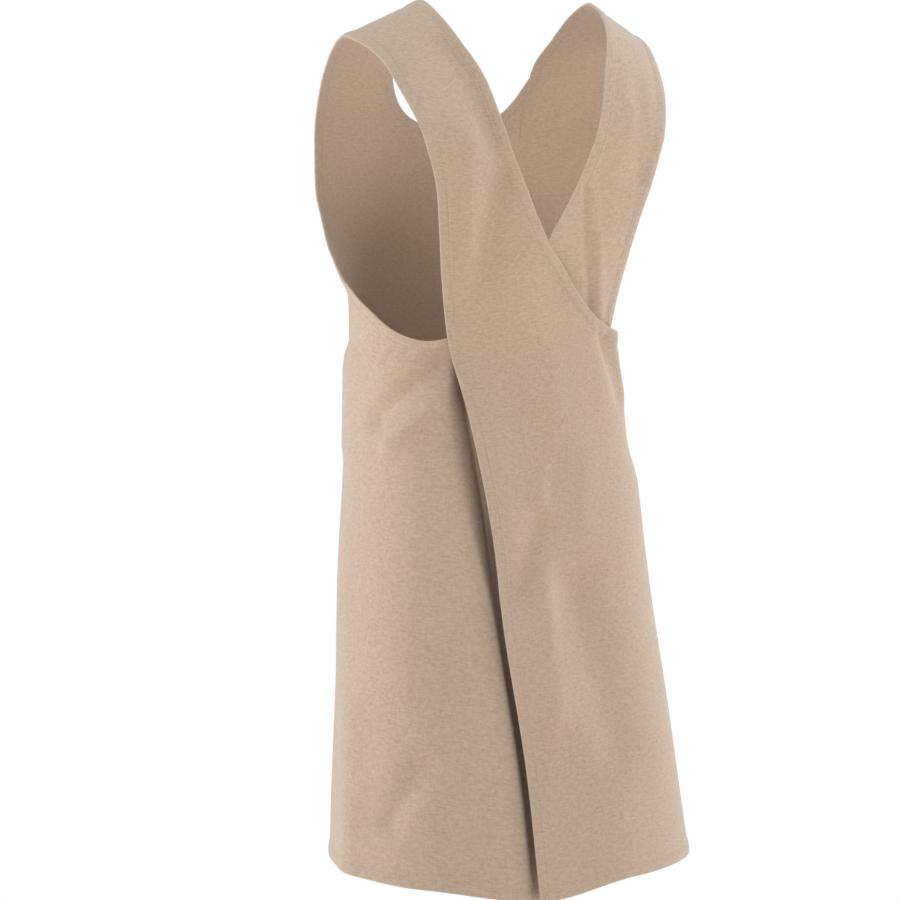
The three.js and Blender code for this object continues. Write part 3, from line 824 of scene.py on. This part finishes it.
def make_sheet(name, points, faces, thickness, live, edge, lay):
    """A closed sheet of cloth from a grid. live says which cells are cloth, and lay is where each crossing
    lay when the cloth was flat, in metres."""
    corners = at_corners(live) > 0
    number = np.full(corners.shape, -1)
    number[corners] = np.arange(corners.sum())
    count = int(corners.sum())
    inner = points[corners]
    outer = (points + faces * thickness[..., None])[corners]
    a, b = number[:-1, :-1][live], number[:-1, 1:][live]
    c, d = number[1:, 1:][live], number[1:, :-1][live]
    quads_out = np.stack([a, b, c, d], -1)
    first = np.cross(outer[b] - outer[a], outer[d] - outer[a])
    turned = (first * faces[:-1, :-1][live]).sum(-1).mean() < 0
    if turned:
        quads_out = quads_out[:, ::-1]
    pairs = {}
    for quad in quads_out.tolist():
        for k in range(4):
            pairs[(quad[k], quad[(k + 1) % 4])] = True
    rim = [p for p in pairs if (p[1], p[0]) not in pairs]
    ring = sorted({v for p in rim for v in p})
    place_in_ring = {v: 2 * count + k for k, v in enumerate(ring)}
    push = {v: np.zeros(3) for v in ring}
    flat_faces = faces[corners]
    for p, q in rim:
        outward = unit(np.cross(outer[q] - outer[p], flat_faces[p]))
        push[p] += outward
        push[q] += outward
    middle = []
    for v in ring:
        reach = np.linalg.norm(outer[v] - inner[v])
        middle.append((outer[v] + inner[v]) / 2 + unit(push[v]) * min(0.22 * reach, 0.0006))
    quads = [tuple(q) for q in quads_out.tolist()]
    quads += [tuple(v + count for v in reversed(q)) for q in quads]
    for p, q in rim:
        mp, mq = place_in_ring[p], place_in_ring[q]
        quads.append((q, p, mp, mq))
        quads.append((mq, mp, p + count, q + count))
    made = add_piece(name, np.concatenate([outer, inner, np.array(middle)]), quads)
    mesh = made.data
    lays = np.concatenate([lay[corners], lay[corners], lay[corners][ring]])
    edges = np.concatenate([edge[corners], edge[corners], edge[corners][ring]])
    which = np.zeros(len(mesh.loops), int)
    mesh.loops.foreach_get("vertex_index", which)
    mesh.uv_layers.new(name="lay").data.foreach_set("uv", lays[which].astype(np.float32).ravel())
    mesh.attributes.new("edge", "FLOAT", "POINT").data.foreach_set("value", edges.astype(np.float32))
    mesh.validate()
    print(name, "has", len(mesh.polygons) * 2, "triangles")
    return made


def flat_lay(points):
    """Where each crossing lay on the flat cloth: the run across its row, and the run up its column."""
    runs = []
    for axis in (1, 0):
        steps = np.linalg.norm(np.diff(points, axis=axis), axis=-1)
        start = 0 * np.take(points[..., 0], [0], axis=axis)
        runs.append(np.concatenate([start, np.cumsum(steps, axis)], axis))
    return np.stack(runs, -1)


# %% [markdown]
# ## Sewing
# The hems are held by one line of stitches a little inside the folded edge. A stitch is a short,
# thick-waisted piece of thread that dips into the cloth at both ends. One is modelled from a small
# cylinder, and it is repeated along the groove of each hem, about eight to the inch.

# %% Model one stitch
STITCH = 0.0031
THREAD = 0.00052

bpy.ops.object.select_all(action="DESELECT")
bpy.ops.mesh.primitive_cylinder_add(
    vertices=6, radius=THREAD / 2, depth=STITCH * 0.8, end_fill_type="TRIFAN"
)
one_stitch = bpy.context.object
bpy.ops.object.mode_set(mode="EDIT")
bpy.ops.mesh.select_all(action="SELECT")
bpy.ops.transform.rotate(value=math.pi / 2, orient_axis="Y", center_override=(0, 0, 0))
bpy.ops.mesh.select_all(action="DESELECT")
bpy.ops.mesh.select_mode(type="VERT")
bpy.ops.object.mode_set(mode="OBJECT")
for edge_line in one_stitch.data.edges:
    ends = [one_stitch.data.vertices[v].co.x for v in edge_line.vertices]
    edge_line.select = ends[0] * ends[1] < 0
bpy.ops.object.mode_set(mode="EDIT")
bpy.ops.mesh.select_mode(type="EDGE")
bpy.ops.mesh.subdivide(number_cuts=1)
bpy.ops.object.mode_set(mode="OBJECT")
stitch_places = np.array([v.co for v in one_stitch.data.vertices])
ends = np.abs(stitch_places[:, 0]) > STITCH * 0.3
stitch_places[ends, 1:] *= 0.55
stitch_places[ends, 2] -= THREAD * 0.45
stitch_faces = [tuple(p.vertices) for p in one_stitch.data.polygons]
bpy.data.objects.remove(one_stitch)
print("a stitch has", len(stitch_places), "points and", len(stitch_faces), "faces")

# %% Sew along lines


def sew(name, lines):
    """Stitches along lines, each given by its points on the cloth and the way the cloth faces there."""
    places = []
    quads = []
    for points, faces in lines:
        steps = np.linalg.norm(np.diff(points, axis=0), axis=-1)
        run = np.concatenate([[0], np.cumsum(steps)])
        count = int(run[-1] / STITCH)
        for k in range(count):
            middle = (k + 0.5) * run[-1] / count
            both = [middle - STITCH / 2, middle + STITCH / 2]
            ends = np.stack([np.interp(both, run, points[:, c]) for c in range(3)], -1)
            out = unit(np.array([np.interp(middle, run, faces[:, c]) for c in range(3)]))
            ahead = unit(ends[1] - ends[0])
            over = unit(np.cross(out, ahead))
            out = np.cross(ahead, over)
            centre = ends.mean(0) + out * THREAD * 0.3
            start = len(places) * len(stitch_places)
            places.append(centre + stitch_places @ np.stack([ahead, over, out]))
            quads += [tuple(v + start for v in f) for f in stitch_faces]
    print(name, "has", len(places), "stitches and", sum(len(f) - 2 for f in quads), "triangles")
    return add_piece(name, np.concatenate(places), quads)


# %% Soften and hem a panel
SOFT_RISE = 0.0009
SOFT_WAVE = 0.11
SOFT_SEED = 5


def hemmed_panel(name, base, off, live, hemmed, seed):
    """The sheet, its outer points and its directions. hemmed says which lines of points are hemmed edges."""
    outwards = level_at_crest(directions(base, live, away_from_axis(base)))
    soft = undulation(base[..., 0], base[..., 2], SOFT_RISE, SOFT_WAVE, SOFT_SEED)
    points = base + outwards * (off + soft * ease((-base[..., 2] - 0.05) / 0.15))[..., None]
    distance, where = nearest_edge(points, [points[line] for line in hemmed])
    points = points + outwards * puckers(distance, where, seed)[..., None]
    faces = level_at_crest(directions(points, live, outwards))
    thickness = hem_thickness(distance)
    lay = flat_lay(points) + np.array([seed * 0.7, 0])
    cloth = make_sheet(name, points, faces, thickness, live, distance, lay)
    return cloth, points + faces * thickness[..., None], faces


# %% [markdown]
# ## The two back panels
# The wearer's left panel lies underneath, with its strap over the right shoulder. The right panel laps over
# it and its strap goes over the left shoulder. Both come from the same function; the right one is turned
# over to the other side.

# %% Cut and hang a back panel


def back_panel(name, hand, over, seed):
    up, across, top_row, inner_line = back_lines(hand, over)
    base, off = back_place(up, across, hand, over)
    base = base * np.array([hand, 1, 1])
    live = np.ones((up.shape[0] - 1, up.shape[1] - 1), bool)
    live[top_row:, inner_line:] = False
    hemmed = [np.s_[:, 0], np.s_[top_row:, inner_line], np.s_[top_row, inner_line:], np.s_[0]]
    cloth, outer, faces = hemmed_panel(name, base, off, live, hemmed, seed)
    turn_in = np.arange(top_row, up.shape[0])
    neck_line = inner_line - STITCH_LINE
    top_line = top_row - STITCH_LINE
    inner_then_top, inner_faces = (
        np.concatenate([grid[turn_in[::-1], neck_line], grid[top_line, inner_line:]])
        for grid in (outer, faces)
    )
    threads = sew(name + "_stitches", [
        (outer[:, STITCH_LINE], faces[:, STITCH_LINE]),
        (inner_then_top, inner_faces),
        (outer[STITCH_LINE, STITCH_LINE:], faces[STITCH_LINE, STITCH_LINE:]),
    ])
    return cloth, threads


under_cloth, under_threads = back_panel("under_cloth", 1, False, 11)
over_cloth, over_threads = back_panel("over_cloth", -1, True, 23)

# %% [markdown]
# ## The front panel
# Its left half is laid out and the right half is the same lines mirrored, apart from the folds, which
# differ.

# %% Cut and hang the front


def front_panel(name, seed):
    left_base, left_off = front_place(front_up, front_out, 1 + 0 * front_out)
    right_base, right_off = front_place(front_up, front_out, -1 + 0 * front_out)
    right_base = right_base * np.array([-1, 1, 1])
    base = np.concatenate([left_base, right_base[:, -2::-1]], axis=1)
    off = np.concatenate([left_off, right_off[:, -2::-1]], axis=1)
    rows, columns = off.shape
    inner = front_inner
    other_inner = columns - 1 - inner
    live = np.ones((rows - 1, columns - 1), bool)
    live[scoop_row:, inner:other_inner] = False
    hemmed = [
        np.s_[0],
        np.s_[bib_row:, 0],
        np.s_[bib_row:, -1],
        np.s_[scoop_row:, inner],
        np.s_[scoop_row:, other_inner],
        np.s_[scoop_row, inner : other_inner + 1],
    ]
    cloth, outer, faces = hemmed_panel(name, base, off, live, hemmed, seed)
    step = STITCH_LINE
    down = np.arange(rows - 1, scoop_row - 1, -1)
    neck = [
        (down, inner - step + 0 * down),
        (scoop_row - step + 0 * np.arange(inner, other_inner + 1), np.arange(inner, other_inner + 1)),
        (down[::-1], other_inner + step + 0 * down),
    ]
    neck_rows = np.concatenate([n[0] for n in neck])
    neck_columns = np.concatenate([n[1] for n in neck])
    threads = sew(name + "_stitches", [
        (outer[step], faces[step]),
        (outer[bib_row:, step], faces[bib_row:, step]),
        (outer[bib_row:, -1 - step], faces[bib_row:, -1 - step]),
        (outer[neck_rows, neck_columns], faces[neck_rows, neck_columns]),
    ])
    return cloth, threads


front_cloth, front_threads = front_panel("front_cloth", 37)

# %% [markdown]
# ## Writing a finish
# A finish is a net of nodes, and most of them are sums. The small class below wraps a node's socket so that
# a sum is written as an ordinary expression, and one method makes every other kind of node.

# %% Sums on sockets


class Wire:
    """A socket that carries a number, so that expressions on it add Math nodes."""

    def __init__(self, tree, socket):
        self.tree = tree
        self.socket = socket

    def sum(self, operation, *others):
        made = self.tree.nodes.new("ShaderNodeMath")
        made.operation = operation
        for slot, value in enumerate((self, *others)):
            join(self.tree, value, made.inputs[slot])
        return Wire(self.tree, made.outputs[0])

    def __add__(self, other):
        return self.sum("ADD", other)

    __radd__ = __add__

    def __mul__(self, other):
        return self.sum("MULTIPLY", other)

    __rmul__ = __mul__

    def __sub__(self, other):
        return self.sum("SUBTRACT", other)

    def __rsub__(self, other):
        return (self * -1).sum("ADD", other)

    def __truediv__(self, other):
        return self.sum("DIVIDE", other)

    def clipped(self):
        return self.sum("MAXIMUM", 0.0).sum("MINIMUM", 1.0)


def join(tree, value, socket):
    if isinstance(value, Wire):
        tree.links.new(value.socket, socket)
    elif isinstance(value, bpy.types.NodeSocket):
        tree.links.new(value, socket)
    else:
        socket.default_value = value


class Finish:
    """A material, and the one method that makes its nodes."""

    def __init__(self, name):
        self.material = bpy.data.materials.new(name)
        self.material.use_nodes = True
        self.tree = self.material.node_tree
        self.shader = self.tree.nodes["Principled BSDF"]

    def node(self, kind, settings=(), inputs=()):
        made = self.tree.nodes.new("ShaderNode" + kind)
        for key, value in dict(settings).items():
            if key == "stops":
                ramp = made.color_ramp
                ramp.elements[0].position, ramp.elements[0].color = value[0]
                ramp.elements[1].position, ramp.elements[1].color = value[-1]
                for place, colour in value[1:-1]:
                    ramp.elements.new(place).color = colour
            else:
                setattr(made, key, value)
        for key, value in dict(inputs).items():
            join(self.tree, value, made.inputs[key])
        return made

    def wire(self, node, output=0):
        return Wire(self.tree, node.outputs[output])

    def blend(self, share, first, second):
        made = self.node("Mix", {"data_type": "RGBA"}, {0: share, 6: first, 7: second})
        return made.outputs[2]


print("a finish starts as one Principled BSDF")

# %% [markdown]
# ## The woven cloth
# Up close this is a plain weave: warp threads run up the panel and weft threads across, each over one and
# under the next. From where the camera stands the threads merge, and what shows is that they are unevenly
# spun: short pale flecks where a thread is thick, faint streaks along the weft, and a slow drift of tone.
# All of it follows the lay of the flat cloth, which each sheet carries as its own map in metres, so the
# weave bends with the folds. The sides of the threads and the stitched groove beside a hem are darkened with
# painted shade, and the cloth is painted a little paler along a folded edge.

# %% Weave
THREADS = 0.00078
MID = (0.520, 0.382, 0.274, 1)
SHADE = (0.440, 0.312, 0.216, 1)
PALE = (0.650, 0.520, 0.408, 1)
FOLD_PALE = (0.610, 0.480, 0.370, 1)
# painted shade: the colour put on the sides of the threads and in the stitched groove
PAINTED_SHADE = (0.36, 0.25, 0.17, 1)
FLECK_EDGE = 7.0


def cloth_finish(name, warmth):
    finish = Finish(name)
    lay = finish.node("UVMap", {"uv_map": "lay"})
    parts = finish.node("SeparateXYZ", (), {0: lay.outputs[0]})
    across = finish.wire(parts, 0)
    up = finish.wire(parts, 1)
    edge = finish.wire(finish.node("Attribute", {"attribute_name": "edge"}), 2)

    def noise(wide, tall, detail, rough=0.5):
        place = finish.node("CombineXYZ", (), {0: across * (1 / wide), 1: up * (1 / tall), 2: warmth})
        settings = {"Vector": place.outputs[0], "Scale": 1.0, "Detail": detail, "Roughness": rough}
        return finish.wire(finish.node("TexNoise", (), settings), 0)

    uneven = noise(0.006, 0.006, 1.0)
    warp = (across / THREADS + uneven * 0.5) * math.pi
    weft = (up / THREADS + uneven * 0.5) * math.pi
    warp_round = warp.sum("SINE").sum("ABSOLUTE")
    weft_round = weft.sum("SINE").sum("ABSOLUTE")
    over = (warp.sum("COSINE") * weft.sum("COSINE")).sum("MULTIPLY_ADD", 0.5, 0.5)
    weave = warp_round * over + weft_round * (1 - over)

    slub_across = noise(0.0036, 0.0012, 2.0, 0.6)
    slub_up = noise(0.0012, 0.0040, 2.0, 0.6)
    grain = noise(0.0066, 0.0021, 2.0, 0.6) * 0.6 + noise(0.0021, 0.0056, 2.0, 0.6) * 0.4
    flecks = ((slub_across - 0.60) * FLECK_EDGE).clipped()
    warp_flecks = ((slub_up - 0.64) * FLECK_EDGE).clipped()
    dark_flecks = ((0.38 - slub_across) * FLECK_EDGE).clipped()
    streaks = noise(0.030, 0.0016, 3.0, 0.65)
    drift = noise(0.12, 0.16, 2.0)

    share = (drift - 0.5) * 0.4 + (streaks - 0.5) * 0.25 + (grain - 0.5) * 2.3 + 0.5
    tone = finish.blend(share, SHADE, finish.blend(0.5, MID, PALE))
    tone = finish.blend(flecks * 0.55 + warp_flecks * 0.4, tone, PALE)
    tone = finish.blend(dark_flecks * 0.35, tone, SHADE)
    # painted shade on the sides of each thread and between the threads, where the weave's round threads dip
    tone = finish.blend((1 - weave) * 0.16, tone, PAINTED_SHADE)
    groove = ((edge - float(STITCH_IN)) / 0.0011).sum("POWER", 2.0)
    groove = (groove * -1).sum("EXPONENT")
    # painted shade in the stitched groove beside a hem, which the sheet's shape and the bump also sink
    tone = finish.blend(groove * 0.2, tone, PAINTED_SHADE)
    # the cloth is painted paler within 1.6 mm of a folded edge
    pale_fold = (1 - edge / 0.0016).sum("MAXIMUM", 0.0)
    tone = finish.blend(pale_fold * 0.55, tone, FOLD_PALE)

    lumps = slub_across * 0.4 + slub_up * 0.4 + grain * 0.4
    relief = weave * 0.00009 + lumps * 0.00022 - groove * 0.00012
    bump = finish.node("Bump", (), {"Strength": 0.55, "Distance": 1.0, "Height": relief})
    finish.tree.links.new(bump.outputs[0], finish.shader.inputs["Normal"])
    finish.tree.links.new(tone, finish.shader.inputs["Base Color"])
    join(finish.tree, 0.94 - flecks * 0.06, finish.shader.inputs["Roughness"])
    finish.shader.inputs["Specular IOR Level"].default_value = 0.25
    finish.shader.inputs["Sheen Weight"].default_value = 0.36
    finish.shader.inputs["Sheen Roughness"].default_value = 0.4
    finish.shader.inputs["Sheen Tint"].default_value = (1.0, 0.97, 0.94, 1)
    return finish.material


cloths = {}
for piece, warmth in ((front_cloth, 0.0), (under_cloth, 3.7), (over_cloth, 7.9)):
    cloths[piece.name] = cloth_finish(piece.name + "_weave", warmth)
    piece.data.materials.append(cloths[piece.name])
print(len(cloths), "woven finishes")

# %% [markdown]
# ## The sewing thread
# It is cotton in the cloth's own colour, a touch paler; painted shade between its twisted plies makes
# slanting stripes.
# It reads object coordinates, because a stitch is so small that the stripes need only run across it.

# %% Thread


def thread_finish():
    finish = Finish("sewing_thread")
    place = finish.node("TexCoord").outputs["Object"]
    parts = finish.node("SeparateXYZ", (), {0: place})
    slant = finish.wire(parts, 0) + finish.wire(parts, 1) + finish.wire(parts, 2) * 1.4
    plies = (slant / 0.00022).sum("SINE") * 0.5 + 0.5
    specks = finish.wire(finish.node("TexNoise", (), {"Vector": place, "Scale": 900.0, "Detail": 1.0}), 0)
    # painted shade between the plies: the stripes run from the darker thread colour to the paler one
    tone = finish.blend(plies * 0.6 + specks * 0.3, (0.54, 0.42, 0.31, 1), (0.80, 0.68, 0.56, 1))
    finish.tree.links.new(tone, finish.shader.inputs["Base Color"])
    bump = finish.node("Bump", (), {"Strength": 0.4, "Distance": 1.0, "Height": plies * 0.00004})
    finish.tree.links.new(bump.outputs[0], finish.shader.inputs["Normal"])
    finish.shader.inputs["Roughness"].default_value = 0.7
    finish.shader.inputs["Sheen Weight"].default_value = 0.2
    return finish.material


thread = thread_finish()
for piece in (front_threads, under_threads, over_threads):
    piece.data.materials.append(thread)
print("thread on", 3, "panels")

# %% [markdown]
# ## Each panel in its stand-in's place
# Every panel takes the place of its plain stand-in, which is hidden. Nothing moves on this object, so
# everything rides on the one body.

# %% Pieces and sheets
FRONT_CUT = (0.40, 0.95)
FRONT_AREA = 0.28
BACK_CUT = (0.58, 0.96)
BACK_AREA = 0.26

for cloth, threads, node, cut, area, below in (
    (front_cloth, front_threads, "front_panel", FRONT_CUT, FRONT_AREA, ["over_cloth", "under_cloth"]),
    (under_cloth, under_threads, "left_back_panel", BACK_CUT, BACK_AREA, ["front_cloth"]),
    (over_cloth, over_threads, "right_back_panel", BACK_CUT, BACK_AREA, ["front_cloth", "under_cloth"]),
):
    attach(cloth, "root")
    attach(threads, "root")
    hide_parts(node)
print("3 sheets stand for the construction model's 3 panels")

# %% [markdown]
# ## Floor and light
# The apron is photographed against pure white, so the light comes from all round: an even room, a tall soft
# light at each side and a little beyond the object, which makes its sides pale, one more at each side of
# the camera, and one above. The lights at the sides and above are cooler than the two near the camera. The
# pale floor is far below the hem, as it would be under a wearer, and far away it fades into the room's
# white.

# %% Floor
FLOOR_LEVEL = -1.42

bpy.ops.object.select_all(action="DESELECT")
bpy.ops.mesh.primitive_circle_add(vertices=96, radius=60, fill_type="NGON", location=(0, 0, FLOOR_LEVEL))
floor = bpy.context.object
floor.name = "floor"
floor_finish = Finish("pale_floor")
floor_place = floor_finish.node("TexCoord").outputs["Object"]
floor_away = floor_finish.wire(floor_finish.node("VectorMath", {"operation": "LENGTH"}, {0: floor_place}), 1)
far = ((floor_away - 0.5) / 1.1).clipped()
floor_finish.shader.inputs["Base Color"].default_value = (0.86, 0.855, 0.85, 1)
floor_finish.shader.inputs["Roughness"].default_value = 0.9
glow = floor_finish.node("Emission", (), {"Color": (1, 1, 1, 1), "Strength": 1.0})
both = floor_finish.node("MixShader", (), {0: far, 1: floor_finish.shader.outputs[0], 2: glow.outputs[0]})
floor_finish.tree.links.new(both.outputs[0], floor_finish.tree.nodes["Material Output"].inputs[0])
floor.data.materials.append(floor_finish.material)
print("floor at", FLOOR_LEVEL)

# %% Room and lights
ROOM = 0.29
LEFT_RIM_POWER = 20
LEFT_POWER = 11
RIGHT_RIM_POWER = 18
RIGHT_POWER = 13.5
TOP_POWER = 25
COOL = (0.93, 0.985, 1.085)
COOLER = (0.9, 1.0, 1.1)

world = bpy.data.worlds.new("room")
bpy.context.scene.world = world
world.use_nodes = True
room_tree = world.node_tree
room_tree.nodes.clear()
paths = room_tree.nodes.new("ShaderNodeLightPath")
seen = room_tree.nodes.new("ShaderNodeBackground")
seen.inputs[0].default_value = (1, 1, 1, 1)
seen.inputs[1].default_value = 1.0
lit = room_tree.nodes.new("ShaderNodeBackground")
lit.inputs[0].default_value = (1.0, 0.985, 0.97, 1)
lit.inputs[1].default_value = ROOM
choose = room_tree.nodes.new("ShaderNodeMixShader")
room_out = room_tree.nodes.new("ShaderNodeOutputWorld")
room_tree.links.new(paths.outputs["Is Camera Ray"], choose.inputs[0])
room_tree.links.new(lit.outputs[0], choose.inputs[1])
room_tree.links.new(seen.outputs[0], choose.inputs[2])
room_tree.links.new(choose.outputs[0], room_out.inputs[0])


def soft_light(name, place, aim_at, size, power, colour=(1, 1, 1)):
    aim = Vector(aim_at) - Vector(place)
    bpy.ops.object.light_add(type="AREA", location=place, rotation=aim.to_track_quat("-Z", "Y").to_euler())
    light = bpy.context.object
    light.name = name
    light.data.shape = "RECTANGLE"
    light.data.size, light.data.size_y = size
    light.data.energy = power
    light.data.color = colour
    return light


middle = Vector((0, 0, -0.45))
back_of = Vector((towards.x, towards.y, 0))
tall = (1.0, 2.0)
soft_light("left_rim", middle - sideways * 1.7 + back_of * 0.25, middle, tall, LEFT_RIM_POWER, COOL)
soft_light("left_softbox", middle - sideways * 1.5 - back_of * 1.6, middle, tall, LEFT_POWER)
soft_light("right_rim", middle + sideways * 1.6 + back_of * 0.9, middle, tall, RIGHT_RIM_POWER, COOL)
soft_light("right_softbox", middle + sideways * 1.8 - back_of * 1.0, middle, tall, RIGHT_POWER)
soft_light("top_softbox", Vector((0, 0.3, 1.6)), middle, (1.8, 1.8), TOP_POWER, COOLER)
bpy.context.scene.view_settings.view_transform = "Standard"
bpy.context.scene.view_settings.look = "None"
print("five soft lights")
